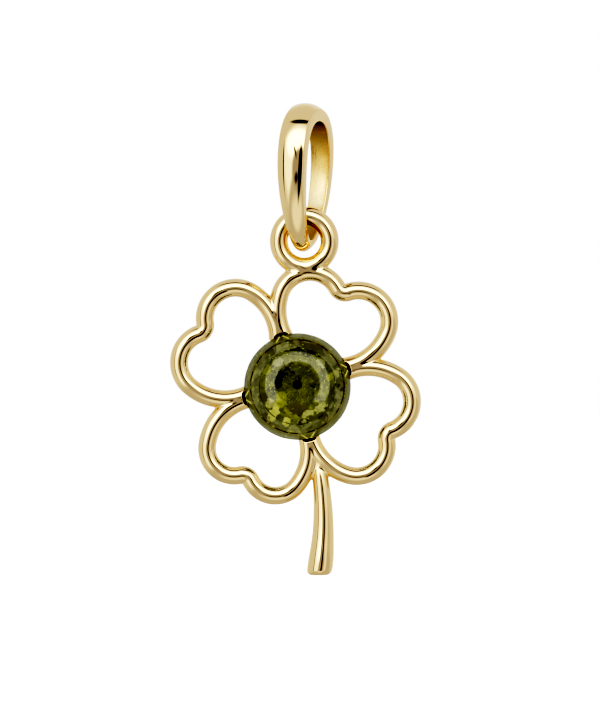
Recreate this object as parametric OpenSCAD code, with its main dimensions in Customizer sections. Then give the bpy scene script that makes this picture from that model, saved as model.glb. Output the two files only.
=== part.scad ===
// Four leaf clover pendant: four open wire hearts round a 6 mm round stone, with a stalk,
// a soldered top ring and a closed bail that a chain runs through.
// Millimetres. +Z is up, the viewer looks along +Y, so the front of the clover faces -Y.
// The origin is the chain seat, the inner top of the bail.

/* [Wire] */
// Diameter of the round wire that the hearts, the ring and the stalk are made of
wire_d = 1.02; // [0.92:0.02:1.1]

/* [Stone] */
// Diameter of the round stone
stone_d = 6.0; // [5.5:0.25:6.5]
// Height of the smooth dome over the girdle
stone_dome = 1.75; // [1.4:0.05:2]
// Thickness of the girdle
stone_girdle = 0.30; // [0.2:0.05:0.4]
// Depth of the faceted back under the girdle
stone_depth = 1.45; // [1.2:0.05:1.7]
// Gap left round the stone in its four seats
seat_gap = 0.08; // [0.06:0.01:0.12]

/* [Leaves] */
// Distance from the edge of the stone out to the line of a leaf's two lobe centres
leaf_out = 1.64; // [1.5:0.02:1.8]
// Diameter of a lobe, measured on the wire's centreline
lobe_d = 3.49; // [3.3:0.05:3.7]
// Distance between the two lobe centres of a leaf
lobe_gap = 2.91; // [2.7:0.05:3.1]
// Radius of the long arc from a lobe down to the stone, on the wire's centreline
side_r = 3.05; // [2.8:0.05:4]
// Distance between two neighbouring wires where they meet the stone
pair_gap = 0.25; // [0.18:0.02:0.32]

/* [Top ring] */
// Diameter of the hole in the top ring
ring_hole = 1.84; // [1.76:0.02:1.96]
// How far the wire of the ring is let into the wire of the leaf under it
ring_sink = 0.71; // [0.6:0.02:0.78]

/* [Stalk] */
// Length of the stalk below the stone
stalk_len = 7.6; // [6.6:0.2:8.6]
// Diameter of the cut end of the stalk
stalk_end_d = 1.45; // [1.2:0.05:1.6]

/* [Bail] */
// Height of the bail's loop, outside
bail_h = 8.32; // [8:0.08:8.8]
// Depth of the bail's loop at its widest, outside
bail_depth = 5.10; // [4.9:0.05:5.3]
// Width of the bail's strip at the top of the loop
bail_w_top = 1.38; // [1.3:0.02:1.5]
// Width of the bail's strip at the bottom of the loop
bail_w_low = 0.80; // [0.74:0.02:0.86]
// Thickness of the bail's strip at the top of the loop, in the middle of its domed face
bail_t = 1.00; // [0.94:0.01:1.04]
// How far the domed face stands over its two edges
bail_crown = 0.20; // [0.12:0.01:0.26]
// Turn of the bail about the vertical, so that its loop shows from the front
bail_turn = 24.5; // [20:0.5:28]
// Lean of the bail to the right over the ring, as it stands in the ring
bail_lean = 2.1; // [0:0.1:2.6]
// How much thinner the bail's strip is at the bottom, inside the ring
bail_thin = 0.34; // [0.28:0.01:0.38]
// How far the bottom of the bail reaches below the middle of the top ring
bail_drop = 0.58; // [0.54:0.01:0.64]

/* [Hidden] */
$fn = 64;

wire_r = wire_d / 2;
// Sides of a wire's section; the corners stand a little over the true circle
SIDES = 14;
wire_round = wire_r * 1.012;
// Length of the chords that the wires' curves are built from
CHORD = wire_d * 0.41;
stone_r = stone_d / 2;
lobe_r = lobe_d / 2;
lobe_x = lobe_gap / 2;
// The notch is as tight as the wire allows, so its outside closes to a crease
notch_r = wire_r * 1.04;
// The wires of the leaves end a quarter of their thickness outside the stone
wire_reach = wire_d * 0.245;
ring_r = ring_hole / 2 + wire_r;
// Bearing of the ring's centre from the centre of the lobe that carries it
ring_dir = 95.2;
gold = [0.86, 0.70, 0.40];

// One row for each leaf: direction of its axis (degrees, counter-clockwise from +X), how far it
// stands out and sideways from the common place (shares of a lobe's radius), and its share of
// the lobe's full size.
AXIS = 0;
OUT = 1;
SIDE = 2;
SHARE = 3;
LEAF = [
    [69.0, 0.000, 0.246, 1.00],
    [149.8, 0.166, 0.069, 0.99],
    [244.0, 0.017, 0.218, 0.88],
    [330.4, -0.063, -0.103, 0.98]];
// Direction of the seat at the clockwise side of each leaf; the next one is on its other side
SEAT = [19.6, 108, 192.5, 283];

// Rings of corners on the back of the stone: width and depth as shares, and turn in facets
WIDE = 0;
DEEP = 1;
TURN = 2;
FACETS = 16;
BACK = [
    [0.99, -0.04, 0],
    [0.74, 0.34, 0.5],
    [0.36, 0.76, 0]];

// Section of the bail's strip: place across the width, and rise of the dome (-1 inside face)
ACROSS = 0;
RISE = 1;
BAIL_SECTION = [
    [-1.00, -1], [-1.00, 0.00], [-0.72, 0.48], [-0.38, 0.86], [0, 1.00],
    [0.38, 0.86], [0.72, 0.48], [1.00, 0.00], [1.00, -1]];
STATIONS = 56;
// Share by which the loop is wider above its middle than below it
loop_taper = 0.27;
// Share by which the shoulders of the loop rise
loop_rise = 0.09;
// Share of the strip's taper by which its front limb is wider than its back limb
limb_share = 0.32;
// Widest share of the tapered loop, so that bail_depth is its true depth
loop_wide = max([for (t = [0:2:180]) sin(t) * (1 + loop_taper * cos(t))]);

// Stalk, from its top (0) to its end (1), and its thickness from the wire's (0) to the end's (1)
STALK = [
    [0.00, -0.70], [0.10, -0.17], [0.20, 0.06], [0.32, 0.18], [0.44, 0.33], [0.56, 0.46],
    [0.67, 0.60], [0.76, 0.77], [0.84, 0.94], [0.90, 1.00], [0.95, 0.97], [0.985, 0.80],
    [1.00, 0.45]];
// Radius of the stalk's bent centreline, its bulge to the right, where it starts below the stone,
// and the radius of its wire
stalk_bend = stalk_len * 2.35;
stalk_out = stone_r * 0.486;
stalk_start = wire_d * 0.88;
stalk_top_r = wire_r * 0.88;
// Stubs at the seats: how far they reach in under the stone and out along the wires
post_in = wire_d * 0.41;
post_out = wire_d * 0.44;
post_r = (wire_d + pair_gap) / 2 + wire_d * 0.06;

function mix(a, b, t) = a + (b - a) * t;
function dir(a) = [cos(a), sin(a)];
function turn(p, a) = [p[0] * cos(a) - p[1] * sin(a), p[0] * sin(a) + p[1] * cos(a)];
function bearing(p) = atan2(p[1], p[0]);
function wrap(a) = a - 360 * floor(a / 360);
// Where a circle of radius r1 about p1 meets one of radius r2 about p2, on the left of p1 to p2
function meet(p1, r1, p2, r2) =
    let (d = norm(p2 - p1), e = (p2 - p1) / d, x = (d * d + r1 * r1 - r2 * r2) / (2 * d))
    p1 + e * x + [-e[1], e[0]] * sqrt(max(r1 * r1 - x * x, 0));

// Leaf i: lobe centre on side s (1 clockwise, -1 the other), in the plane of the stone
function leaf_at(i, x, y) = turn([y, -x - LEAF[i][SIDE] * lobe_r], LEAF[i][AXIS]);
function lobe_y(i) = stone_r + leaf_out + LEAF[i][OUT] * lobe_r;
function lobe_c(i, s) = leaf_at(i, s * lobe_x * LEAF[i][SHARE], lobe_y(i));
function lobe_rad(i) = lobe_r * LEAF[i][SHARE];
function notch_y(i) = lobe_y(i)
    + sqrt(pow(lobe_rad(i) + notch_r, 2) - pow(lobe_x * LEAF[i][SHARE], 2));
// Centre of the top ring, over the inner lobe of the top right leaf
ring_c = lobe_c(0, -1) + dir(ring_dir) * (lobe_rad(0) + ring_r + wire_d - ring_sink);
// Where the ring's centre stands: the origin is the inner top of the bail, and the ring hangs
// round the leaning foot of the bail
ring_z = bail_t - bail_h + bail_drop;
ring_x = ring_z * tan(bail_lean) - bail_thin / 12;
function stalk_x(y) = stalk_out - stalk_bend
    + sqrt(pow(stalk_bend, 2) - pow(y - stone_r - stalk_len * 0.6, 2));
// Where the wire on side s of leaf i ends in its seat
function seat_dir(i, s) = s > 0 ? SEAT[i] : SEAT[(i + 1) % 4];
function wire_end(i, s) = let (a = seat_dir(i, s))
    dir(a) * (stone_r + wire_reach) + dir(a + 90) * s * pair_gap / 2;

// Points on an arc about c from bearing a0 through a sweep, which may be negative
function arc(c, r, a0, sweep, steps) = [for (k = [0:steps]) c + dir(a0 + sweep * k / steps) * r];
// Steps that keep an arc's chords near the wanted length
function steps_for(r, sweep) = max(2, round(abs(sweep) * PI / 180 * r / CHORD));

// Half of leaf i from the seat on side s up to the middle of the notch, on the wire's centreline
function half_line(i, s) =
    let (c = lobe_c(i, s), r = lobe_rad(i), n = leaf_at(i, 0, notch_y(i)), p = wire_end(i, s))
    let (m = s > 0 ? meet(p, side_r, c, side_r - r) : meet(c, side_r - r, p, side_r))
    let (seat_a = bearing(p - m), side_a = bearing(c - m), notch_a = bearing(n - c))
    let (long_turn = s * wrap(s * (side_a - seat_a)), lobe_turn = s * wrap(s * (notch_a - side_a)))
    let (low_a = bearing(c - n), notch_turn = -s * wrap(s * (low_a - LEAF[i][AXIS] - 180)))
    concat(
        arc(m, side_r, seat_a, long_turn, steps_for(side_r, long_turn / 2)),
        after(arc(c, r, side_a, lobe_turn, steps_for(r, lobe_turn))),
        after(arc(n, notch_r, low_a, notch_turn, 3)));
function after(list) = [for (k = [1:len(list) - 1]) list[k]];
function back(list) = [for (k = [len(list) - 1:-1:0]) list[k]];
function leaf_line(i) = concat(half_line(i, 1), after(back(half_line(i, -1))));

// Round tube along a line of points in the plane; rads holds one radius for each point
module tube(line, rads, sides, phase) {
    n = len(line);
    pts = [for (k = [0:n - 1])
        let (d = line[min(k + 1, n - 1)] - line[max(k - 1, 0)], e = d / norm(d))
        let (bend_k = k == 0 || k == n - 1 ? 1 : norm(d)
            / (norm(line[k + 1] - line[k]) + norm(line[k] - line[k - 1])))
        for (j = [0:sides - 1]) let (t = 360 * (j + phase) / sides)
        [line[k][0] + e[1] * rads[k] * cos(t) / bend_k,
            line[k][1] - e[0] * rads[k] * cos(t) / bend_k,
            rads[k] * sin(t)]];
    faces = concat(
        [[for (j = [sides - 1:-1:0]) j]],
        [for (k = [0:n - 2]) for (j = [0:sides - 1])
            let (a = k * sides, b = a + sides, m = (j + 1) % sides)
            each [[a + j, b + m, b + j], [a + j, a + m, b + m]]],
        [[for (j = [0:sides - 1]) (n - 1) * sides + j]]);
    polyhedron(points = pts, faces = faces);
}

module leaf(i) {
    line = leaf_line(i);
    tube(line, [for (q = line) wire_round], SIDES, i % 2 == 0 ? 0.25 : 0.75);
}

// Room that the stone takes, with a gap round it: straight up from the girdle, tapered below
module stone_room() {
    r = stone_r + seat_gap;
    low = stone_girdle / 2 + seat_gap;
    translate([0, 0, -low])
    cylinder(h = low + wire_d, r = r);
    translate([0, 0, -low - stone_depth])
    cylinder(h = stone_depth, r1 = r * 0.12, r2 = r);
}

// Stub that two neighbouring wires run into; the stone's edge rests in the notch in its end
module seat_post(a) {
    difference() {
        rotate([0, 0, a])
        translate([stone_r - post_in, 0, 0])
        rotate([0, 90, 0])
        rotate([0, 0, 46])
        cylinder(h = post_in + post_out, r = post_r, $fn = 24);
        stone_room();
    }
}

module top_ring() {
    translate([ring_c[0], ring_c[1], 0])
    rotate([0, 0, 37])
    rotate_extrude($fn = 48)
    translate([ring_r, 0])
    rotate([0, 0, 180])
    circle(r = wire_r, $fn = 20);
}

// Stalk: a bent wire from between the two lower leaves, thicker towards its cut end
module stalk() {
    top_y = stone_r + stalk_start;
    end_y = stone_r + stalk_len;
    line = [for (q = STALK) let (y = mix(top_y, end_y, q[0])) [stalk_x(y), -y]];
    rads = [for (q = STALK) mix(stalk_top_r, stalk_end_d / 2, q[1])];
    tube(line, rads, SIDES, 0.5);
}

module clover_frame() {
    color(gold)
    translate([ring_x, 0, ring_z])
    rotate([90, 0, 0])
    translate([-ring_c[0], -ring_c[1], 0]) {
        leaf(0);
        leaf(1);
        leaf(2);
        leaf(3);
        for (a = SEAT) seat_post(a);
        top_ring();
        stalk();
    }
}

// Faceted back of the stone: rings of corners from inside the girdle down to a point
module stone_back() {
    rings = len(BACK);
    tip = rings * FACETS;
    pts = concat(
        [for (k = [0:rings - 1]) for (j = [0:FACETS - 1])
            let (t = 360 * (j + BACK[k][TURN]) / FACETS, r = stone_r * BACK[k][WIDE])
            [cos(t) * r, sin(t) * r, -stone_girdle / 2 - stone_depth * BACK[k][DEEP]]],
        [[0, 0, -stone_girdle / 2 - stone_depth], [0, 0, -stone_girdle / 2 - stone_depth * BACK[0][DEEP]]]);
    faces = concat(
        [for (j = [0:FACETS - 1]) [j, tip + 1, (j + 1) % FACETS]],
        [for (k = [0:rings - 2]) for (j = [0:FACETS - 1])
            let (n = (j + 1) % FACETS, a = k * FACETS, b = a + FACETS)
            each BACK[k][TURN] <= BACK[k + 1][TURN]
                ? [[a + j, a + n, b + j], [a + n, b + n, b + j]]
                : [[a + j, b + n, b + j], [a + j, a + n, b + n]]],
        [for (j = [0:FACETS - 1])
            [(rings - 1) * FACETS + j, (rings - 1) * FACETS + (j + 1) % FACETS, tip]]);
    polyhedron(points = pts, faces = faces);
}

// Round stone with a smooth dome towards the front and a faceted back
module stone() {
    dome_r = (stone_r * stone_r + stone_dome * stone_dome) / (2 * stone_dome);
    color([0.36, 0.36, 0.16, 0.85])
    translate([ring_x, 0, ring_z])
    rotate([90, 0, 0])
    translate([-ring_c[0], -ring_c[1], 0]) {
        intersection() {
            translate([0, 0, stone_girdle / 2 + stone_dome - dome_r])
            sphere(r = dome_r);
            translate([0, 0, -stone_girdle / 2])
            cylinder(h = stone_girdle + stone_dome * 2, r = stone_r);
        }
        stone_back();
    }
}

// Width of the bail's strip at station t: it narrows towards its foot, the back limb sooner
function bail_w(t) = bail_w_low
    + (bail_w_top - bail_w_low) * (1 - limb_share * sin(t)) * (1 - pow((1 - cos(t)) / 2, 3));
// Centreline of the loop: t is 0 at the top and goes round by the back (+) to the bottom
function loop_xy(t) = let (h = bail_h - bail_t, d = bail_depth - bail_t)
    [d / 2 * sin(t) * (1 + loop_taper * cos(t)) / loop_wide,
        h / 2 * (cos(t) - 1 + loop_rise * pow(sin(t), 2) * max(cos(t), 0)) + bail_t / 2];
function loop_out(t) = let (a = loop_xy(t - 0.5), b = loop_xy(t + 0.5), d = b - a)
    [-d[1], d[0]] / norm(d);

// The bail: one strip with a flat inside and a domed outside, swept round the loop
module bail() {
    pts = [for (k = [0:STATIONS - 1]) let (t = 360 * k / STATIONS, c = loop_xy(t), o = loop_out(t))
        for (q = BAIL_SECTION)
        let (in = bail_t / 2 - bail_thin * (1 - cos(t)) / 2, out = bail_t / 2)
        let (p = c + o * (q[RISE] < 0 ? -in : out - bail_crown * (1 - q[RISE])))
        [p[0], p[1], q[ACROSS] * bail_w(t) / 2]];
    m = len(BAIL_SECTION);
    faces = [for (k = [0:STATIONS - 1]) for (j = [0:m - 1])
        let (a = k * m, b = ((k + 1) % STATIONS) * m, n = (j + 1) % m)
        each [[a + j, b + j, b + n], [a + j, b + n, a + n]]];
    color(gold)
    rotate([0, bail_lean, 0])
    rotate([0, 0, -bail_turn])
    rotate([90, 0, 90])
    polyhedron(points = pts, faces = faces);
}

bail();
clover_frame();
stone();
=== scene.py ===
# Looks of the four leaf clover pendant: polished yellow gold and an olive green stone.
# Sizes are in millimetres, in the row's frame, and each mesh is scaled to metres when it is made.
import math

import bmesh
import bpy
import numpy as np
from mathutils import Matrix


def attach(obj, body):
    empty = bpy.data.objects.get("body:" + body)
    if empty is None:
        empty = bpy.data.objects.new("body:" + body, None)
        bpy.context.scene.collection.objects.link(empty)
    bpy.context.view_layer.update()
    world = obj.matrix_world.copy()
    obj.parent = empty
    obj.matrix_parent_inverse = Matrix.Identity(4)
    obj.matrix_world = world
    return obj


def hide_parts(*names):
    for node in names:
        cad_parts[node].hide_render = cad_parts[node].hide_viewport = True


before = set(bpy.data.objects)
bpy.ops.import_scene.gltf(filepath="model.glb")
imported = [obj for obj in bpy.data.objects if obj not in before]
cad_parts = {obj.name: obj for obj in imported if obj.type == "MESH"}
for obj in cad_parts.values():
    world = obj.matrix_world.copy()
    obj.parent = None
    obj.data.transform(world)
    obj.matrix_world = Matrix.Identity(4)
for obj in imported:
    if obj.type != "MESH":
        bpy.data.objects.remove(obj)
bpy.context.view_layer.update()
MM = 0.001

# Wire, stone and leaves, as in the part's source
WIRE_R = 0.51
STONE_R = 3.0
STONE_DOME = 1.75
STONE_GIRDLE = 0.30
STONE_DEPTH = 1.45
SEAT_GAP = 0.08
LEAF_OUT = 1.64
LOBE_R = 3.49 / 2
LOBE_X = 2.91 / 2
SIDE_R = 3.05
PAIR_GAP = 0.25
NOTCH_R = WIRE_R * 1.04
WIRE_REACH = WIRE_R * 0.49
RING_R = 1.84 / 2 + WIRE_R
RING_SINK = 0.71
STALK_LEN = 7.6
STALK_END_R = 1.45 / 2
STALK_TOP_R = WIRE_R * 0.88
STALK_BEND = STALK_LEN * 2.35
STALK_OUT = STONE_R * 0.486
STALK_START = WIRE_R * 1.76
POST_R = 0.48
POST_IN = 0.42
POST_OUT = 0.45
# Solder fillets where leaves meet, at the posts, and at the roots of ring and stalk; softened seat edges
LEAF_FILLET = 0.07
POST_FILLET = 0.04
ROOT_FILLET = 0.14
SEAT_EDGE = 0.05
SKIN_STEP = 0.06

# A row for each leaf: direction of its axis, how far it stands out and sideways, share of full size
AXIS, OUT, SIDE, SHARE = range(4)
LEAF = [
    (69.0, 0.000, 0.246, 1.00),
    (149.8, 0.166, 0.069, 0.99),
    (244.0, 0.017, 0.218, 0.88),
    (330.4, -0.063, -0.103, 0.98)]
SEAT = (19.6, 108, 192.5, 283)
# The dark gap at each seat: widest in its middle, closing towards its ends
SEAT_MID_GAP = 0.15
SEAT_END_GAP = -0.03
SEAT_HALF_ANGLE = 8.5
# The room under the stone deepens to the stone's depth over this share of its radius
ROOM_SLOPE_SHARE = 0.88
# Degrees by which each long arc runs on into its seat
SEAT_RUN_ON = 7

# Bail, as in the part's source
BAIL_H = 8.32
BAIL_DEPTH = 5.10
BAIL_W_TOP = 1.38
BAIL_W_LOW = 0.80
BAIL_T = 1.00
BAIL_CROWN = 0.20
BAIL_SKEW = 0.12
BAIL_TURN = 24.5
BAIL_LEAN = 2.1
BAIL_THIN = 0.34
BAIL_DROP = 0.58
LOOP_TAPER = 0.27
LOOP_RISE = 0.09
LIMB_SHARE = 0.32
BAIL_EDGE_IN = 0.06
BAIL_EDGE_OUT = 0.07
RING_Z = BAIL_T - BAIL_H + BAIL_DROP
RING_X = RING_Z * math.tan(math.radians(BAIL_LEAN)) - BAIL_THIN / 12
RING_DIR = 95.2


def unit(a):
    """Direction at a degrees in the plane of the clover."""
    return np.array([math.cos(math.radians(a)), math.sin(math.radians(a))])


def bearing(p):
    """Direction of p in degrees."""
    return math.degrees(math.atan2(p[1], p[0]))


def meet(p1, r1, p2, r2):
    """Where two circles meet, on the left of the way from p1 to p2."""
    d = np.linalg.norm(p2 - p1)
    e = (p2 - p1) / d
    x = (d * d + r1 * r1 - r2 * r2) / (2 * d)
    return p1 + e * x + np.array([-e[1], e[0]]) * math.sqrt(max(r1 * r1 - x * x, 0))


def leaf_at(leaf, x, y):
    """Point x across and y out along a leaf's axis, measured from the middle of the stone."""
    e = unit(leaf[AXIS])
    return e * y + np.array([e[1], -e[0]]) * (x + leaf[SIDE] * LOBE_R)


def half_leaf(i, s):
    """Arcs (centre, radius, start bearing, sweep) of one half of a leaf's centreline."""
    leaf = LEAF[i]
    out = STONE_R + LEAF_OUT + leaf[OUT] * LOBE_R
    r = LOBE_R * leaf[SHARE]
    x = LOBE_X * leaf[SHARE]
    c = leaf_at(leaf, s * x, out)
    n = leaf_at(leaf, 0, out + math.sqrt((r + NOTCH_R) ** 2 - x * x))
    seat = SEAT[i] if s > 0 else SEAT[(i + 1) % 4]
    p = unit(seat) * (STONE_R + WIRE_REACH) + unit(seat + 90) * s * PAIR_GAP / 2
    m = meet(p, SIDE_R, c, SIDE_R - r) if s > 0 else meet(c, SIDE_R - r, p, SIDE_R)
    seat_a, side_a, notch_a, low_a = bearing(p - m), bearing(c - m), bearing(n - c), bearing(c - n)
    # the wire runs on a little under the stone, where its seat is cut
    run_on = s * SEAT_RUN_ON
    return [
        (m, SIDE_R, seat_a - run_on, s * (s * (side_a - seat_a) % 360) + run_on),
        (c, r, side_a, s * (s * (notch_a - side_a) % 360)),
        (n, NOTCH_R, low_a, -s * (s * (low_a - leaf[AXIS] - 180) % 360))]


LEAF_ARCS = [half_leaf(i, 1) + half_leaf(i, -1) for i in range(4)]
TOP_LEAF = LEAF[0]
RING_C = (leaf_at(TOP_LEAF, -LOBE_X * TOP_LEAF[SHARE], STONE_R + LEAF_OUT + TOP_LEAF[OUT] * LOBE_R)
          + unit(RING_DIR) * (LOBE_R * TOP_LEAF[SHARE] + RING_R + 2 * WIRE_R - RING_SINK))
STONE_AT = np.array([RING_X - RING_C[0], 0, RING_Z - RING_C[1]])


def to_row(p):
    """From the clover's plane (right, up, out to the viewer) about the stone to the row's frame."""
    return np.stack([p[:, 0] + STONE_AT[0], -p[:, 2], p[:, 1] + STONE_AT[2]], axis=1)


# Stalk: share of its thickness from its top (0) along its length to its cut end (1)
STALK_AT = (0.00, 0.10, 0.20, 0.32, 0.44, 0.56, 0.67, 0.76, 0.84, 0.90, 0.95, 1.00)
STALK_FULL = (-0.70, -0.17, 0.06, 0.18, 0.33, 0.46, 0.60, 0.77, 0.94, 1.00, 0.97, 0.90)
STALK_TOP_Y = STONE_R + STALK_START
STALK_END_Y = STONE_R + STALK_LEN
STALK_MID_Y = STONE_R + STALK_LEN * 0.6
STALK_EVEN = np.linspace(-0.06, 0.06, 7)
STALK_ROUND = 0.32


def arc_distance(p, arc):
    """Distance of each point from one arc in the plane of the clover."""
    c, r, start, sweep = arc
    q = p[:, :2] - c
    a = np.degrees(np.arctan2(q[:, 1], q[:, 0]))
    middle = start + sweep / 2
    off = (a - middle + 180) % 360 - 180
    a = np.radians(middle + np.clip(off, -abs(sweep) / 2, abs(sweep) / 2))
    flat = np.hypot(q[:, 0] - r * np.cos(a), q[:, 1] - r * np.sin(a))
    return np.hypot(flat, p[:, 2])


def blend_min(a, b, soft):
    """Smaller of two distances, with a fillet of about the size soft where they are close."""
    h = np.maximum(soft - np.abs(a - b), 0) / soft
    return np.minimum(a, b) - h * h * soft / 4


def stalk_r(along):
    """Radius of the stalk at a share of its length, evened out between the rows above."""
    full = np.mean([np.interp(along + k, STALK_AT, STALK_FULL) for k in STALK_EVEN], axis=0)
    return STALK_TOP_R + (STALK_END_R - STALK_TOP_R) * full


def stalk_distance(p):
    """Signed distance from the stalk: a bent round wire, thicker towards its rounded end."""
    x0 = STALK_OUT - STALK_BEND
    q = np.stack([p[:, 0] - x0, p[:, 1] + STALK_MID_Y], axis=1)
    low, high = -(STALK_END_Y - STALK_MID_Y), STALK_MID_Y - STALK_TOP_Y
    a = np.clip(np.arctan2(q[:, 1], q[:, 0]), math.asin(low / STALK_BEND), math.asin(high / STALK_BEND))
    along = (high - STALK_BEND * np.sin(a)) / (high - low)
    flat = np.hypot(q[:, 0], q[:, 1]) - STALK_BEND
    side = np.hypot(flat, p[:, 2]) - stalk_r(along)
    end = -(p[:, 1] + STALK_END_Y)
    top = p[:, 1] + STALK_TOP_Y
    inside = np.minimum(np.maximum(side, end) + STALK_ROUND, 0)
    corner = np.hypot(np.maximum(side + STALK_ROUND, 0), np.maximum(end + STALK_ROUND, 0))
    return np.maximum(inside + corner - STALK_ROUND, top)


def post_distance(p, a):
    """Signed distance from the stub that two neighbouring wires run into."""
    e = unit(a)
    past = p[:, 0] * e[0] + p[:, 1] * e[1] - STONE_R
    across = p[:, 1] * e[0] - p[:, 0] * e[1]
    side = np.hypot(across, p[:, 2]) - POST_R
    return np.maximum(side, np.maximum(past - POST_OUT, -POST_IN - past))


def stone_room(p):
    """Signed distance from the room round the stone, open to the front and widest at each seat."""
    r = np.hypot(p[:, 0], p[:, 1])
    low = STONE_GIRDLE / 2 + SEAT_GAP
    facing = np.max([(p[:, :2] @ unit(a)) for a in SEAT], axis=0) / np.maximum(r, 1e-6)
    end = math.cos(math.radians(SEAT_HALF_ANGLE))
    middle = np.clip((facing - end) / (1 - end), 0, 1)
    wall = r - STONE_R - SEAT_END_GAP - (SEAT_MID_GAP - SEAT_END_GAP) * middle * (2 - middle)
    slope = STONE_DEPTH / (ROOM_SLOPE_SHARE * (STONE_R + SEAT_GAP))
    under = (-low - p[:, 2] + (r - STONE_R - SEAT_GAP) * slope) / math.hypot(1, slope)
    return np.maximum(wall, under)


def frame_distance(p):
    """Signed distance from the soldered frame, with small solder fillets between its wires."""
    leaves = [np.min([arc_distance(p, a) for a in arcs], axis=0) - WIRE_R for arcs in LEAF_ARCS]
    d = leaves[0]
    for other in leaves[1:]:
        d = blend_min(d, other, LEAF_FILLET)
    for a in SEAT:
        d = blend_min(d, post_distance(p, a), POST_FILLET)
    ring = np.hypot(np.hypot(p[:, 0] - RING_C[0], p[:, 1] - RING_C[1]) - RING_R, p[:, 2]) - WIRE_R
    d = blend_min(d, ring, ROOT_FILLET)
    d = blend_min(d, stalk_distance(p), ROOT_FILLET)
    return -blend_min(-d, stone_room(p), SEAT_EDGE)


def gradient(f, p, step=0.002):
    """Direction in which f grows, at each point."""
    g = np.stack([f(p + step * e) - f(p - step * e) for e in np.eye(3)], axis=1)
    return g / np.maximum(np.linalg.norm(g, axis=1, keepdims=True), 1e-9)


def pull(f, p, step=0.002):
    """Moves points once towards the surface f = 0, along the slope of f."""
    here = f(p)
    g = np.stack([(f(p + step * e) - here) / step for e in np.eye(3)], axis=1)
    return p - g * (here / np.maximum((g * g).sum(axis=1), 0.25))[:, None]


def new_piece(name, verts, faces, material, body, normals=None):
    """Mesh object in metres from points in millimetres, smooth, riding on a body."""
    mesh = bpy.data.meshes.new(name)
    mesh.from_pydata((np.asarray(verts) * MM).tolist(), [], faces)
    mesh.update()
    mesh.polygons.foreach_set("use_smooth", [True] * len(mesh.polygons))
    if normals is not None:
        mesh.normals_split_custom_set_from_vertices(normals.tolist())
    piece = bpy.data.objects.new(name, mesh)
    bpy.context.scene.collection.objects.link(piece)
    mesh.materials.append(material)
    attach(piece, body)
    return piece


def tube_faces(rings, sides, closed):
    """Quads of a tube of rings, round the rings and along them."""
    last = rings if closed else rings - 1
    quads = []
    for k in range(last):
        for j in range(sides):
            a, b = k * sides + j, k * sides + (j + 1) % sides
            c, d = ((k + 1) % rings) * sides + (j + 1) % sides, ((k + 1) % rings) * sides + j
            quads.append((a, b, c, d))
    return quads


def tube(line, rads, sides=20, closed=False):
    """Round tube along points in the plane of the clover: points and faces."""
    line = np.asarray(line)
    n = len(line)
    ahead = line[(np.arange(n) + 1) % n] if closed else line[np.minimum(np.arange(n) + 1, n - 1)]
    behind = line[np.arange(n) - 1] if closed else line[np.maximum(np.arange(n) - 1, 0)]
    e = (ahead - behind) / np.linalg.norm(ahead - behind, axis=1, keepdims=True)
    t = np.radians(np.arange(sides) * 360 / sides)
    rads = np.broadcast_to(rads, n)
    ring = rads[:, None] * np.cos(t)
    pts = np.stack([
        line[:, 0, None] + e[:, 1, None] * ring,
        line[:, 1, None] - e[:, 0, None] * ring,
        rads[:, None] * np.sin(t) + 0 * ring], axis=2).reshape(-1, 3)
    faces = tube_faces(n, sides, closed)
    if not closed:
        faces += [tuple(range(sides)), tuple(range(n * sides - 1, (n - 1) * sides - 1, -1))]
    return pts, faces


def arc_points(arc, step=0.12):
    """Points along an arc, no further apart than step."""
    c, r, start, sweep = arc
    n = max(2, math.ceil(abs(math.radians(sweep)) * r / step))
    return [c + unit(start + sweep * k / n) * r for k in range(n + 1)]


def rough_frame():
    """Overlapping tubes that cover the frame; they are only the start of its surface."""
    parts = []
    for arcs in LEAF_ARCS:
        halves = [sum((arc_points(a)[:-1] for a in half), []) for half in (arcs[:3], arcs[3:])]
        parts.append(tube(halves[0] + halves[1][::-1], WIRE_R))
    ring = [RING_C + unit(k * 6) * RING_R for k in range(60)]
    parts.append(tube(ring, WIRE_R, closed=True))
    ys = np.linspace(STALK_TOP_Y, STALK_END_Y, 40)
    xs = STALK_OUT - STALK_BEND + np.sqrt(STALK_BEND ** 2 - (ys - STALK_MID_Y) ** 2)
    along = (ys - STALK_TOP_Y) / (STALK_END_Y - STALK_TOP_Y)
    parts.append(tube(np.stack([xs, -ys], axis=1), stalk_r(along)))
    for a in SEAT:
        ends = [unit(a) * (STONE_R + k) for k in (-POST_IN, POST_OUT)]
        parts.append(tube(ends, POST_R))
    pts, faces, start = [], [], 0
    for part_pts, part_faces in parts:
        pts.append(part_pts)
        faces += [tuple(v + start for v in face) for face in part_faces]
        start += len(part_pts)
    return np.concatenate(pts), faces


def remesh(pts, faces, size):
    """One skin of even quads round overlapping solids."""
    mesh = bpy.data.meshes.new("rough")
    mesh.from_pydata(pts.tolist(), [], faces)
    rough = bpy.data.objects.new("rough", mesh)
    bpy.context.scene.collection.objects.link(rough)
    modifier = rough.modifiers.new("skin", "REMESH")
    modifier.mode = "VOXEL"
    modifier.voxel_size = size
    modifier.adaptivity = 0
    skin = rough.evaluated_get(bpy.context.evaluated_depsgraph_get()).to_mesh()
    co = np.empty(len(skin.vertices) * 3, np.float32)
    skin.vertices.foreach_get("co", co)
    quads = [tuple(p.vertices) for p in skin.polygons]
    edges = np.empty(len(skin.edges) * 2, np.int32)
    skin.edges.foreach_get("vertices", edges)
    bpy.data.objects.remove(rough)
    return co.reshape(-1, 3).astype(float), quads, edges.reshape(-1, 2)


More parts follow.
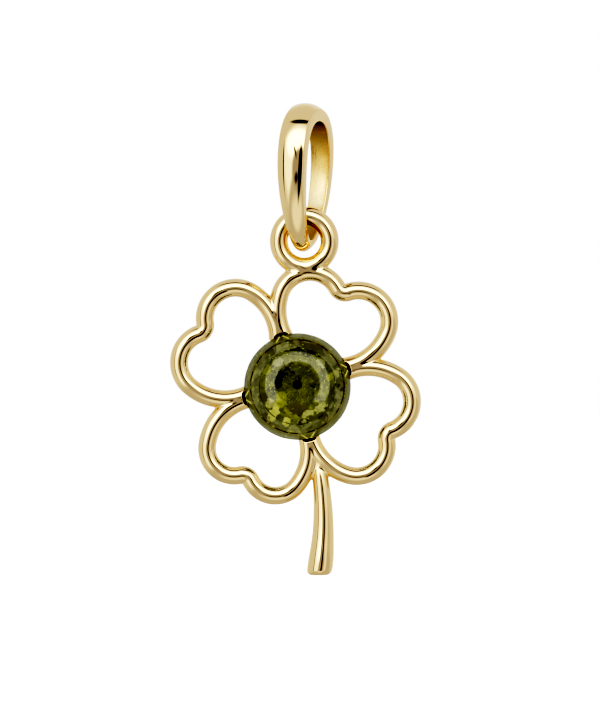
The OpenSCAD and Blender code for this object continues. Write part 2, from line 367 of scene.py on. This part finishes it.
def settle(p, edges, f, rounds=4):
    """Moves points onto the surface f = 0 and evens them out along it."""
    count = np.bincount(edges.ravel(), minlength=len(p))[:, None]
    p = pull(f, p)
    for _ in range(rounds):
        total = np.stack([
            np.bincount(edges[:, 0], p[edges[:, 1], k], len(p))
            + np.bincount(edges[:, 1], p[edges[:, 0], k], len(p)) for k in range(3)], axis=1)
        p = pull(f, p + 0.5 * (total / count - p))
    return pull(f, p)


def rounded(corners, steps=5):
    """Closed outline through corners (x, y, radius); each corner is cut back and rounded."""
    out = []
    n = len(corners)
    for k in range(n):
        p = np.array(corners[k][:2])
        a, b = np.array(corners[k - 1][:2]), np.array(corners[(k + 1) % n][:2])
        r = corners[k][2]
        if r == 0:
            out.append(p)
            continue
        start = p + (a - p) / np.linalg.norm(a - p) * r
        end = p + (b - p) / np.linalg.norm(b - p) * r
        for j in range(steps + 1):
            t = j / steps
            out.append(start * (1 - t) ** 2 + p * 2 * t * (1 - t) + end * t * t)
    return np.array(out)


def loop_point(t):
    """Centreline of the bail's loop (depth, height): t is 0 at the top and goes round by the back."""
    h, d = BAIL_H - BAIL_T, BAIL_DEPTH - BAIL_T
    wide = max(math.sin(a) * (1 + LOOP_TAPER * math.cos(a)) for a in np.radians(np.arange(0, 182, 2)))
    s, c = math.sin(t), math.cos(t)
    return np.array([
        d / 2 * s * (1 + LOOP_TAPER * c) / wide,
        h / 2 * (c - 1 + LOOP_RISE * s * s * max(c, 0)) + BAIL_T / 2])


def make_bail(material_out, material_in):
    stations = 300
    dome_steps = 20
    pts = []
    for k in range(stations):
        t = 2 * math.pi * k / stations
        c = loop_point(t)
        along = loop_point(t + 0.01) - loop_point(t - 0.01)
        out = np.array([-along[1], along[0]]) / np.linalg.norm(along)
        low = (1 - math.cos(t)) / 2
        grown = (1 - LIMB_SHARE * math.sin(t)) * (1 - low ** 3)
        wide = (BAIL_W_LOW + (BAIL_W_TOP - BAIL_W_LOW) * grown) / 2
        inner = -BAIL_T / 2 + BAIL_THIN * low
        edge = BAIL_T / 2 - BAIL_CROWN
        across = np.linspace(-1, 1, dome_steps + 1)[1:-1]
        dome = [(q * wide, edge + BAIL_CROWN * (1 - q * q) - BAIL_SKEW * q, 0) for q in across]
        corners = [
            (-wide, inner, BAIL_EDGE_IN), (-wide, edge + BAIL_SKEW, BAIL_EDGE_OUT),
            *dome,
            (wide, edge - BAIL_SKEW, BAIL_EDGE_OUT), (wide, inner, BAIL_EDGE_IN)]
        for side, rise in rounded(corners):
            p = c + out * rise
            pts.append((p[0], side, p[1]))
    pts = np.array(pts)
    sides = len(pts) // stations
    # the loop stands in the plane of depth and height, is turned about the vertical and leans a little
    turn, lean = math.radians(-BAIL_TURN), math.radians(BAIL_LEAN)
    depth, side, up = pts[:, 0], pts[:, 1], pts[:, 2]
    x = side * math.cos(turn) - depth * math.sin(turn)
    y = side * math.sin(turn) + depth * math.cos(turn)
    z = up * math.cos(lean) - x * math.sin(lean)
    x = x * math.cos(lean) + up * math.sin(lean)
    pts = np.stack([x, y, z], axis=1)
    faces = tube_faces(stations, sides, True)
    bail = new_piece("bail_strip", pts, faces, material_out, "hanger")
    bail.data.materials.append(material_in)
    normals_out(bail)
    for face in bail.data.polygons:
        # the run between the last and the first corner is the flat inside
        face.material_index = int(face.index % sides == sides - 1)
    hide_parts("bail")


def normals_out(piece):
    """Turns all faces outwards and shades them smooth."""
    bm = bmesh.new()
    bm.from_mesh(piece.data)
    bmesh.ops.recalc_face_normals(bm, faces=bm.faces)
    bm.to_mesh(piece.data)
    bm.free()
    piece.data.polygons.foreach_set("use_smooth", [True] * len(piece.data.polygons))


# Back of the stone: rings of facet corners, width and depth as shares, and turn in facets
FACETS = 16
BACK = [(0.985, 0.0, 0.0), (0.80, 0.25, 0.5), (0.56, 0.52, 0.0), (0.30, 0.78, 0.5)]
BACK_SKIN = 0.02


def stone_circle(count, r, z, turn=0):
    """Even points round the stone at one height."""
    return [(*(unit((j + turn) * 360 / count) * r), z) for j in range(count)]


def make_stone(material_front, material_back, material_outside):
    dome_rings, around = 40, 192
    dome_r = (STONE_R ** 2 + STONE_DOME ** 2) / (2 * STONE_DOME)
    tilt = math.asin(STONE_R / dome_r)
    top = STONE_GIRDLE / 2
    pts = [(0, 0, top + STONE_DOME)]
    for k in range(1, dome_rings + 1):
        a = tilt * k / dome_rings
        pts += stone_circle(around, dome_r * math.sin(a), top + STONE_DOME - dome_r * (1 - math.cos(a)))
    pts += stone_circle(around, STONE_R, -top)
    faces = [(0, 1 + j, 1 + (j + 1) % around) for j in range(around)]
    faces += [tuple(v + 1 for v in q) for q in tube_faces(dome_rings + 1, around, False)]
    smooth_faces = len(faces)
    # the girdle's lower edge joins the first ring of the back
    girdle = 1 + dome_rings * around
    start = len(pts)
    for wide, deep, turn in BACK:
        pts += stone_circle(FACETS, STONE_R * wide, -top - STONE_DEPTH * deep, turn)
    pts.append((0, 0, -top - STONE_DEPTH))
    share = around // FACETS
    for j in range(FACETS):
        a, b = start + j, start + (j + 1) % FACETS
        arc = [girdle + (j * share + m) % around for m in range(share + 1)]
        half = share // 2
        faces += [(arc[m], arc[m + 1], a) for m in range(half)]
        faces.append((arc[half], b, a))
        faces += [(arc[m], arc[m + 1], b) for m in range(half, share)]
    for k in range(len(BACK) - 1):
        for j in range(FACETS):
            n = (j + 1) % FACETS
            a, b = start + k * FACETS, start + (k + 1) * FACETS
            if BACK[k][2] <= BACK[k + 1][2]:
                faces += [(a + j, a + n, b + j), (a + n, b + n, b + j)]
            else:
                faces += [(a + j, b + n, b + j), (a + j, a + n, b + n)]
    last = start + (len(BACK) - 1) * FACETS
    faces += [(last + j, last + (j + 1) % FACETS, len(pts) - 1) for j in range(FACETS)]
    # the same facets again just outside, which is what shows from behind
    inner_faces = len(faces)
    shift = len(pts) - girdle
    pts += [(x, y, z - BACK_SKIN) for x, y, z in pts[girdle:]]
    faces += [tuple(v + shift for v in face) for face in faces[smooth_faces:]]
    pts = to_row(np.array(pts))
    stone = new_piece("round_stone", pts, faces, material_front, "clover")
    stone.data.materials.append(material_back)
    stone.data.materials.append(material_outside)
    normals_out(stone)
    for face in stone.data.polygons:
        face.use_smooth = face.index < smooth_faces - around
        face.material_index = int(face.index >= smooth_faces) + int(face.index >= inner_faces)
    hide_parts("stone")


def make_frame(material):
    pts, faces = rough_frame()
    p, quads, edges = remesh(pts, faces, SKIN_STEP)
    p = settle(p, edges, frame_distance)
    normals = gradient(frame_distance, p)
    normals = np.stack([normals[:, 0], -normals[:, 2], normals[:, 1]], axis=1)
    piece = new_piece("soldered_frame", to_row(p), quads, material, "clover", normals)
    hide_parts("clover_frame")


def put(tree, value, socket):
    """Gives a socket a value, or a link from another socket."""
    if isinstance(value, bpy.types.NodeSocket):
        tree.links.new(value, socket)
    else:
        socket.default_value = value


def calc(tree, kind, *values):
    node = tree.nodes.new("ShaderNodeMath")
    node.operation = kind
    for socket, value in zip(node.inputs, values):
        put(tree, value, socket)
    return node.outputs[0]


def plus(tree, a, b):
    return calc(tree, "ADD", a, b)


def minus(tree, a, b):
    return calc(tree, "SUBTRACT", a, b)


def times(tree, a, b):
    return calc(tree, "MULTIPLY", a, b)


def over(tree, a, b):
    return calc(tree, "DIVIDE", a, b)


def largest(tree, values):
    """Largest of several numbers."""
    top = values[0]
    for value in values[1:]:
        top = calc(tree, "MAXIMUM", top, value)
    return top


def flat_length(tree, x, y):
    return calc(tree, "SQRT", plus(tree, times(tree, x, x), times(tree, y, y)))


def turned(tree, x, y, e):
    """Parts of (x, y) along a direction e and across it."""
    c, s = float(e[0]), float(e[1])
    along = plus(tree, times(tree, x, c), times(tree, y, s))
    across = minus(tree, times(tree, y, c), times(tree, x, s))
    return along, across


def spread(tree, value, low, high, to_low=0.0, to_high=1.0):
    """Soft step from to_low, where value is low, to to_high, where it is high."""
    node = tree.nodes.new("ShaderNodeMapRange")
    node.interpolation_type = "SMOOTHSTEP"
    put(tree, value, node.inputs["Value"])
    node.inputs["From Min"].default_value = low
    node.inputs["From Max"].default_value = high
    node.inputs["To Min"].default_value = to_low
    node.inputs["To Max"].default_value = to_high
    return node.outputs["Result"]


def mixed(tree, share, a, b, kind="FLOAT"):
    """Mix of two numbers or two colours."""
    node = tree.nodes.new("ShaderNodeMix")
    node.data_type = kind
    sockets = [n for n in node.inputs if n.enabled]
    for socket, value in zip((sockets[0], sockets[-2], sockets[-1]), (share, a, b)):
        put(tree, value, socket)
    return [n for n in node.outputs if n.enabled][0]


def tinted(tree, share, a, b):
    return mixed(tree, share, a, b, "RGBA")


def in_ellipse(tree, x, y, middle, half, soft, turn=0):
    """1 inside an ellipse with a soft edge, 0 outside; turn is in degrees."""
    dx, dy = minus(tree, x, middle[0]), minus(tree, y, middle[1])
    if turn:
        dx, dy = turned(tree, dx, dy, unit(turn))
    reach = flat_length(tree, over(tree, dx, half[0]), over(tree, dy, half[1]))
    return spread(tree, reach, 1 + soft, 1 - soft)


def ramp(tree, value, rows):
    """Colour that runs through rows of a place from 0 to 1 and a colour."""
    node = tree.nodes.new("ShaderNodeValToRGB")
    stops = node.color_ramp.elements
    for k, (at, colour) in enumerate(rows):
        stop = stops[k] if k < 2 else stops.new(at)
        stop.position = at
        stop.color = (*colour, 1)
    put(tree, value, node.inputs["Fac"])
    return node.outputs["Color"]


def new_material(name):
    material = bpy.data.materials.new(name)
    material.use_nodes = True
    return material, material.node_tree, material.node_tree.nodes["Principled BSDF"]


def row_place(tree):
    """Place in the row's frame, in millimetres: right, back, up."""
    place = tree.nodes.new("ShaderNodeTexCoord")
    split = tree.nodes.new("ShaderNodeSeparateXYZ")
    put(tree, place.outputs["Object"], split.inputs["Vector"])
    return [over(tree, part, MM) for part in split.outputs]


def about_stone(tree):
    """Place in the clover's plane about the middle of the stone, in millimetres: right, up."""
    place = row_place(tree)
    return [minus(tree, place[k], float(STONE_AT[k])) for k in (0, 2)]


def noise(tree, scale, detail=2.0):
    """Even cloudy noise, finer for a larger scale."""
    place = tree.nodes.new("ShaderNodeTexCoord")
    node = tree.nodes.new("ShaderNodeTexNoise")
    node.inputs["Scale"].default_value = scale
    node.inputs["Detail"].default_value = detail
    tree.links.new(place.outputs["Object"], node.inputs["Vector"])
    return node.outputs["Fac"]


GOLD = (0.92, 0.75, 0.50, 1)
# Colour of the painted shadow on the floor of the gap at each seat
SEAT_SHADOW_PAINT = (0.02, 0.015, 0.01, 1)
# Roughness outside and inside the bail, size of the unevenness of the polish, and depth of the pits (mm)
POLISHED = 0.04
SATIN_ROUGH = 0.22
POLISH_NOISE = 900
PIT_NOISE = 6000
PITS = 0.004
# Painted light and shade on the inside of the bail, from its foot to its top: height (mm) and colour,
# darker where less light gets in, with a painted highlight between
SATIN_PAINTED_LIGHT = [
    (-7.0, (0.38, 0.27, 0.12)),
    (-5.6, (0.62, 0.47, 0.24)),
    (-4.6, (1.00, 0.84, 0.58)),
    (-3.0, (1.00, 0.80, 0.50)),
    (-1.7, (0.72, 0.53, 0.26)),
    (-0.6, (0.48, 0.34, 0.15)),
    (0.0, (0.20, 0.13, 0.06))]


def satin_painted_light(tree):
    """Painted light and shade of the bail's inside by its height."""
    low, high = SATIN_PAINTED_LIGHT[0][0], SATIN_PAINTED_LIGHT[-1][0]
    height = over(tree, minus(tree, row_place(tree)[2], low), high - low)
    return ramp(tree, height, [((at - low) / (high - low), colour) for at, colour in SATIN_PAINTED_LIGHT])


def gold(name, roughness, pits=0, shade_seats=False):
    """Polished yellow gold: a little uneven in polish, with fine pits in the surface; with pits, its
    colour has the painted light and shade of the bail's inside, and with shade_seats, a painted shadow
    in the gap at each seat.
    """
    material, tree, shader = new_material(name)
    shader.inputs["Base Color"].default_value = GOLD
    shader.inputs["Metallic"].default_value = 1
    uneven = spread(tree, noise(tree, POLISH_NOISE, 3), 0.2, 0.8, roughness * 0.7, roughness * 1.4)
    put(tree, uneven, shader.inputs["Roughness"])
    if shade_seats:
        # painted shadow: the floor of the gap at each seat is painted dark, where shade falls into the
        # gap
        x, y = about_stone(tree)
        r = flat_length(tree, x, y)
        facing = largest(tree, [turned(tree, x, y, unit(a))[0] for a in SEAT])
        end = math.cos(math.radians(SEAT_HALF_ANGLE))
        middle = over(tree, minus(tree, over(tree, facing, r), end), 1 - end)
        full = times(tree, calc(tree, "MAXIMUM", middle, 0), minus(tree, 2, middle))
        gap = times(tree, full, SEAT_MID_GAP - SEAT_END_GAP)
        past = minus(tree, minus(tree, r, STONE_R + SEAT_END_GAP), gap)
        unshaded = calc(tree, "MAXIMUM", spread(tree, past, -0.03, -0.01), spread(tree, middle, 0.12, 0.0))
        put(tree, tinted(tree, unshaded, SEAT_SHADOW_PAINT, GOLD), shader.inputs["Base Color"])
    if pits:
        # painted light and shade: the bail's inside is darker towards its top and foot, with a painted
        # highlight between
        put(tree, satin_painted_light(tree), shader.inputs["Base Color"])
        bump = tree.nodes.new("ShaderNodeBump")
        bump.inputs["Distance"].default_value = pits * MM
        put(tree, noise(tree, PIT_NOISE), bump.inputs["Height"])
        put(tree, bump.outputs["Normal"], shader.inputs["Normal"])
    return material


STONE_IOR = 1.6


def clear_dome():
    """The polished outside of the stone, through which its faceted back shows."""
    material, tree, shader = new_material("clear_dome")
    shader.inputs["Base Color"].default_value = (1, 1, 1, 1)
    shader.inputs["Roughness"].default_value = 0
    shader.inputs["IOR"].default_value = STONE_IOR
    shader.inputs["Transmission Weight"].default_value = 1
    return material


# From behind: two tones of the stone's facets
BACK_DARK = (0.14, 0.145, 0.018, 1)
BACK_LIGHT = (0.16, 0.16, 0.023, 1)


def plain_back():
    """Olive facets of the stone's back, seen from behind."""
    material, tree, shader = new_material("plain_back")
    x, y = about_stone(tree)
    spokes = calc(tree, "COSINE", times(tree, calc(tree, "ARCTAN2", y, x), FACETS))
    rings = calc(tree, "COSINE", times(tree, flat_length(tree, x, y), 4 * math.pi / STONE_R))
    share = spread(tree, times(tree, spokes, rings), -1, 1)
    put(tree, tinted(tree, share, BACK_DARK, BACK_LIGHT), shader.inputs["Base Color"])
    shader.inputs["Roughness"].default_value = 0.12
    return material


# The dome bends what shows through it: shares of the radius on the back, and where they are seen
BENT = [(0.06, 0.10), (0.26, 0.40), (0.40, 0.59), (0.51, 0.72), (0.70, 0.87), (0.87, 0.97), (0.95, 1.0)]
# Colour of the back by the radius where it is seen: in the middle, between the rings, at the rim; the
# stone's olive, with painted reflections that lighten it at the ring light's reflection and towards the
# rim
ZONES = [
    (0.00, (0.25, 0.25, 0.02)),
    (0.40, (0.23, 0.23, 0.02)),
    (0.46, (0.36, 0.36, 0.13)),
    (0.60, (0.33, 0.33, 0.09)),
    (0.64, (0.25, 0.25, 0.04)),
    (0.70, (0.25, 0.25, 0.04)),
    (0.74, (0.46, 0.46, 0.26)),
    (0.86, (0.46, 0.46, 0.26)),
    (0.90, (0.50, 0.51, 0.28)),
    (1.00, (0.60, 0.60, 0.36))]
# Cells round the stone and from its middle to its edge, and the size of those in its middle
BIG_CELLS = (21, 6.5)
SMALL_CELLS = (64, 22)
MIDDLE_CELLS = 8
MIDDLE_FROM, MIDDLE_TO = 0.44, 0.40
# Dark rings between the rows of facets: radius, half width, and strength at their weakest and strongest
RINGS = [(0.725, 0.007, 0.0, 0.8), (0.872, 0.009, 0.3, 1.0)]
# Facets that catch the light or stay dark, where they are seen: place right and up, half sizes,
# turn of the long side (degrees) and colour
SEEN_RIGHT, SEEN_UP, LONG, ACROSS, LONG_TURN, COLOUR = range(6)
BRIGHT = (0.93, 0.90, 0.38)
SOFT = (0.74, 0.73, 0.36)
PALE = (0.66, 0.66, 0.34)
LEAFY = (0.52, 0.52, 0.00)
BLACK = (0.07, 0.07, 0.02)
DUSK = (0.23, 0.21, 0.06)
FLASHES = [
    (-0.339, 0.125, 0.19, 0.07, 75, BLACK),
    (-0.05, 0.70, 0.22, 0.03, 2, BLACK),
    (0.31, 0.63, 0.13, 0.03, -28, BLACK),
    (0.0, -0.42, 0.20, 0.12, 0, DUSK),
    (-0.64, -0.22, 0.09, 0.08, 0, DUSK),
    (0.47, -0.57, 0.10, 0.07, 30, DUSK),
    (0.25, 0.76, 0.22, 0.06, -15, DUSK),
    (-0.439, -0.487, 0.19, 0.085, 70, BRIGHT),
    (-0.296, -0.245, 0.15, 0.11, 80, LEAFY),
    (-0.524, -0.316, 0.10, 0.08, 40, SOFT),
    (-0.197, -0.672, 0.09, 0.08, 0, BRIGHT),
    (0.188, -0.516, 0.14, 0.065, 25, SOFT),
    (0.444, -0.402, 0.14, 0.08, 35, SOFT),
    (0.131, -0.655, 0.055, 0.05, 0, SOFT),
    (-0.382, 0.467, 0.11, 0.09, 30, PALE),
    (0.459, 0.453, 0.10, 0.08, -40, PALE),
    (0.63, 0.197, 0.10, 0.05, 80, LEAFY),
    (-0.581, 0.31, 0.09, 0.06, 60, LEAFY),
    (0.744, 0.268, 0.07, 0.06, 80, SOFT)]
FLASH_EDGE = 0.12
FLASH_WOBBLE = 0.05
# Painted reflection of the camera: the black dot seen near the stone's middle, a little over it
STONE_DOT = 0.095
STONE_DOT_UP = 0.03
SPECK = (0.95, 0.95, 0.25)
SPECK_SHARE = 0.8
# Painted reflection of the wires in the stone's edge, a bright V at each seat: where its point is, how
# it opens, half its line, where it fades, and its painted glow
SEAT_GLINT = (0.95, 0.85, 0.42)
GLINT_TIP = 0.985
GLINT_OPEN = 1.1
GLINT_START = 0.03
GLINT_FADE = (0.88, 0.92)
GLINT_GLOW = 0.3


def faceted_back_painted_light():
    """Olive mosaic of the facets behind the dome, with rings and bright specks, and painted reflections:
    lit and dark cells, lighter zones, gold glints at the seats and a black dot.
    """
    material, tree, shader = new_material("faceted_back_painted_light")
    x, y = about_stone(tree)
    r = over(tree, flat_length(tree, x, y), STONE_R)
    seen = tree.nodes.new("ShaderNodeFloatCurve")
    curve = seen.mapping.curves[0]
    for back, front in BENT:
        curve.points.new(back, front)
    seen.mapping.update()
    put(tree, r, seen.inputs["Value"])
    seen_r = seen.outputs["Value"]
    grow = over(tree, seen_r, times(tree, calc(tree, "MAXIMUM", r, 0.001), STONE_R))
    seen_x, seen_y = times(tree, x, grow), times(tree, y, grow)
    angle = calc(tree, "ARCTAN2", seen_y, seen_x)

    def cells(scale_round, scale_out):
        """Cells laid out round the stone."""
        polar = tree.nodes.new("ShaderNodeCombineXYZ")
        put(tree, times(tree, angle, scale_round / (2 * math.pi)), polar.inputs[0])
        put(tree, times(tree, seen_r, scale_out), polar.inputs[1])
        node = tree.nodes.new("ShaderNodeTexVoronoi")
        node.voronoi_dimensions = "2D"
        node.inputs["Scale"].default_value = 1
        node.inputs["Randomness"].default_value = 0.75
        put(tree, polar.outputs[0], node.inputs["Vector"])
        return node

    big, small = cells(*BIG_CELLS), cells(*SMALL_CELLS)
    middle = tree.nodes.new("ShaderNodeTexVoronoi")
    middle.voronoi_dimensions = "2D"
    middle.inputs["Scale"].default_value = MIDDLE_CELLS
    flat = tree.nodes.new("ShaderNodeCombineXYZ")
    put(tree, seen_x, flat.inputs[0])
    put(tree, seen_y, flat.inputs[1])
    put(tree, flat.outputs[0], middle.inputs["Vector"])
    big_parts, small_parts = [tree.nodes.new("ShaderNodeSeparateColor") for _ in range(2)]
    in_middle = spread(tree, seen_r, MIDDLE_FROM, MIDDLE_TO)
    tones = tinted(tree, in_middle, big.outputs["Color"], middle.outputs["Color"])
    put(tree, tones, big_parts.inputs[0])
    put(tree, small.outputs["Color"], small_parts.inputs[0])
    # three even numbers for each small cell, round 0
    off = [minus(tree, part, 0.5) for part in small_parts.outputs[:3]]
    # each facet is a little lighter or darker, less so at the smooth rim
    calm = spread(tree, seen_r, 0.86, 0.90, 1.0, 0.25)
    strength = spread(tree, seen_r, MIDDLE_TO, MIDDLE_FROM, 0.5, 0.8)
    lift = times(tree, minus(tree, big_parts.outputs[0], 0.5), strength)
    lift = plus(tree, lift, times(tree, off[0], 0.5))
    lift = plus(tree, times(tree, lift, calm), 1)
    lifted = tree.nodes.new("ShaderNodeVectorMath")
    lifted.operation = "SCALE"
    put(tree, ramp(tree, seen_r, ZONES), lifted.inputs[0])
    put(tree, lift, lifted.inputs["Scale"])
    colour = lifted.outputs[0]
    # lit and dark facets, with broken edges
    wobble_x = plus(tree, seen_x, times(tree, off[1], FLASH_WOBBLE))
    wobble_y = plus(tree, seen_y, times(tree, off[2], FLASH_WOBBLE))
    uneven = spread(tree, small_parts.outputs[0], -0.5, 1.0, 0.6, 1.0)
    for row in FLASHES:
        place, half = (row[SEEN_RIGHT], row[SEEN_UP]), (row[LONG], row[ACROSS])
        cover = in_ellipse(tree, wobble_x, wobble_y, place, half, FLASH_EDGE, row[LONG_TURN])
        colour = tinted(tree, times(tree, cover, uneven), colour, (*row[COLOUR], 1))
    for at, half, low, high in RINGS:
        away = calc(tree, "ABSOLUTE", minus(tree, seen_r, at))
        broken = spread(tree, small_parts.outputs[1], 0.2, 0.7, low, high)
        cover = times(tree, spread(tree, away, half * 1.6, half * 0.6), broken)
        colour = tinted(tree, cover, colour, (*BLACK, 1))
    # bright specks in a few of the small cells
    speck = spread(tree, small.outputs["Distance"], 0.26, 0.14)
    chosen = spread(tree, small_parts.outputs[2], 0.86, 0.9)
    cover = times(tree, times(tree, speck, chosen), SPECK_SHARE)
    colour = tinted(tree, cover, colour, (*SPECK, 1))
    # painted reflection of the wires' gold in the edge at each seat, with a painted glow
    glints = []
    for a in SEAT:
        along, across = turned(tree, seen_x, seen_y, unit(a))
        open_here = times(tree, minus(tree, GLINT_TIP, along), GLINT_OPEN)
        line = minus(tree, minus(tree, calc(tree, "ABSOLUTE", across), GLINT_START), open_here)
        on = spread(tree, calc(tree, "ABSOLUTE", line), 0.022, 0.008)
        glints.append(times(tree, on, spread(tree, along, *GLINT_FADE)))
    glint = largest(tree, glints)
    colour = tinted(tree, glint, colour, (*SEAT_GLINT, 1))
    put(tree, times(tree, glint, GLINT_GLOW), shader.inputs["Emission Strength"])
    shader.inputs["Emission Color"].default_value = (*SEAT_GLINT, 1)
    # painted reflection of the camera: a black dot near the middle
    from_dot = flat_length(tree, seen_x, minus(tree, seen_y, STONE_DOT_UP))
    dot = spread(tree, from_dot, STONE_DOT * 1.1, STONE_DOT * 0.85)
    colour = tinted(tree, dot, colour, (*BLACK, 1))
    put(tree, colour, shader.inputs["Base Color"])
    shader.inputs["Roughness"].default_value = 0.3
    return material


# Studio light as seen from the pendant. A direction is an angle right and an angle up, in degrees, from
# the way to the viewer. Each row is a soft-edged ellipse that covers the rows above it.
RIGHT, UP, WIDE, HIGH, EDGE, TILT, LIGHT = range(7)
CARDS = [
    # pale room behind the pendant, and its darker floor side
    (0, 0, 140, 140, 40, 0, 0.70),
    (0, -100, 100, 62, 40, 0, 0.56),
    # upper half of the ring light, the pendant's own dark side under it, and a glow from the floor
    (-2, 6, 58, 53, 12, 0, 0.88),
    (0, 8, 52, 46, 12, 0, 1.15),
    (-4, 24, 38, 20, 14, 0, 2.1),
    (24, -49, 78, 50, 10, 26, 0.58),
    (37, -6, 13, 22, 8, 0, 0.86),
    (4, -43, 26, 14, 12, 0, 0.86),
    # gaps over the light and at its left
    (4, 65, 42, 6, 4, -4, 0.10),
    (-57, -2, 2.6, 26, 2, 0, 0.05),
    # the camera: its dark body, the lens and a handle
    (7, -6, 24, 19, 9, 0, 0.46),
    (11.5, -8, 5.5, 25, 3, 0, 0.05),
    (0, -15, 6, 5, 4, 0, 0.14),
    (-8, 10, 9, 2.4, 3, -50, 0.14)]
ROOM_LIGHT = 0.85
# What the stone's dome mirrors: the ring light round the lens, open at the bottom
DOME_CARDS = [
    (0, 0, 96, 96, 16, 0, 0.6),
    (0, 6, 64, 64, 3, 0, 3.0),
    (0, 6, 43, 43, 3, 0, 0.25),
    (0, -62, 90, 36, 8, 0, 0.35)]
DOME_ROOM_LIGHT = 1.3


def lit(tree, right, up, cards, light):
    """Brightness of the studio in a direction."""
    for card in cards:
        middle, half = (card[RIGHT], card[UP]), (card[WIDE], card[HIGH])
        cover = in_ellipse(tree, right, up, middle, half, card[EDGE] / min(half) / 2, card[TILT])
        light = mixed(tree, cover, light, card[LIGHT])
    return light


def make_world():
    world = bpy.data.worlds.new("studio")
    bpy.context.scene.world = world
    world.use_nodes = True
    tree = world.node_tree
    tree.nodes.clear()
    place = tree.nodes.new("ShaderNodeTexCoord")
    split = tree.nodes.new("ShaderNodeSeparateXYZ")
    tree.links.new(place.outputs["Generated"], split.inputs["Vector"])
    x, y, z = split.outputs
    angle = times(tree, calc(tree, "ARCCOSINE", times(tree, y, -1)), 180 / math.pi)
    flat = calc(tree, "MAXIMUM", flat_length(tree, x, z), 1e-4)
    right = times(tree, over(tree, x, flat), angle)
    up = times(tree, over(tree, z, flat), angle)
    path = tree.nodes.new("ShaderNodeLightPath")
    # only the stone's dome mirrors without any blur
    in_dome = times(tree, path.outputs["Is Singular Ray"],
                   minus(tree, 1, path.outputs["Is Transmission Ray"]))
    light = mixed(tree, in_dome, lit(tree, right, up, CARDS, ROOM_LIGHT),
                  lit(tree, right, up, DOME_CARDS, DOME_ROOM_LIGHT))
    studio, plain = [tree.nodes.new("ShaderNodeBackground") for _ in range(2)]
    put(tree, light, studio.inputs["Strength"])
    plain.inputs["Color"].default_value = (1, 1, 1, 1)
    plain.inputs["Strength"].default_value = 1.0
    mix = tree.nodes.new("ShaderNodeMixShader")
    put(tree, path.outputs["Is Camera Ray"], mix.inputs["Fac"])
    put(tree, studio.outputs[0], mix.inputs[1])
    put(tree, plain.outputs[0], mix.inputs[2])
    out = tree.nodes.new("ShaderNodeOutputWorld")
    put(tree, mix.outputs[0], out.inputs["Surface"])


# The photograph: its size in pixels, the pixel that shows the chain seat, and millimetres in a pixel
PHOTO_W, PHOTO_H = 600, 715
SEAT_PX, SEAT_PY = 309.2, 121.2
PX = 6 / 106.8
CAMERA_FAR = 600
SENSOR = 36


def make_camera():
    data = bpy.data.cameras.new("camera")
    camera = bpy.data.objects.new("camera", data)
    bpy.context.scene.collection.objects.link(camera)
    camera.location = (
        (PHOTO_W / 2 - SEAT_PX) * PX * MM, -CAMERA_FAR * MM, (SEAT_PY - PHOTO_H / 2) * PX * MM)
    camera.rotation_euler = (math.pi / 2, 0, 0)
    data.sensor_width = SENSOR
    data.lens = SENSOR * CAMERA_FAR / (PHOTO_H * PX)
    data.clip_start = 0.01
    data.clip_end = 20
    bpy.context.scene.camera = camera


# Floor, in metres
FLOOR_HALF = 3.0
FLOOR_Z = -0.034


def make_floor():
    mesh = bpy.data.meshes.new("floor")
    w, z = FLOOR_HALF, FLOOR_Z
    mesh.from_pydata([(-w, -w, z), (w, -w, z), (w, w, z), (-w, w, z)], [], [(0, 1, 2, 3)])
    floor = bpy.data.objects.new("floor", mesh)
    bpy.context.scene.collection.objects.link(floor)
    material, tree, shader = new_material("floor")
    shader.inputs["Base Color"].default_value = (0.95, 0.95, 0.95, 1)
    shader.inputs["Roughness"].default_value = 0.9
    mesh.materials.append(material)
    # the polished metal shows the soft studio round it, not the floor's far edge
    floor.visible_glossy = False
    floor.visible_transmission = False


# Contrast of the photograph: light in the scene, and how bright the picture shows it
CONTRAST = [(0.115, 0.008), (0.19, 0.09), (0.31, 0.31), (0.43, 0.53), (0.615, 0.765), (0.77, 0.87)]


def make_look():
    view = bpy.context.scene.view_settings
    view.view_transform = "Standard"
    view.use_curve_mapping = True
    curve = view.curve_mapping.curves[3]
    for x, y in CONTRAST:
        curve.points.new(x, y)
    view.curve_mapping.update()


def make_floor_light():
    """Overhead light that only brightens the floor, so that it goes white as in the photograph."""
    data = bpy.data.lights.new("floor_light", "SUN")
    data.energy = 2.4
    data.angle = math.radians(60)
    light = bpy.data.objects.new("floor_light", data)
    light.visible_glossy = False
    light.visible_transmission = False
    bpy.context.scene.collection.objects.link(light)


make_camera()
make_world()
make_floor()
make_floor_light()
make_look()
make_frame(gold("frame_gold", POLISHED, shade_seats=True))
make_bail(gold("polished_gold", POLISHED), gold("satin_gold_painted_light", SATIN_ROUGH, pits=PITS))
make_stone(clear_dome(), faceted_back_painted_light(), plain_back())
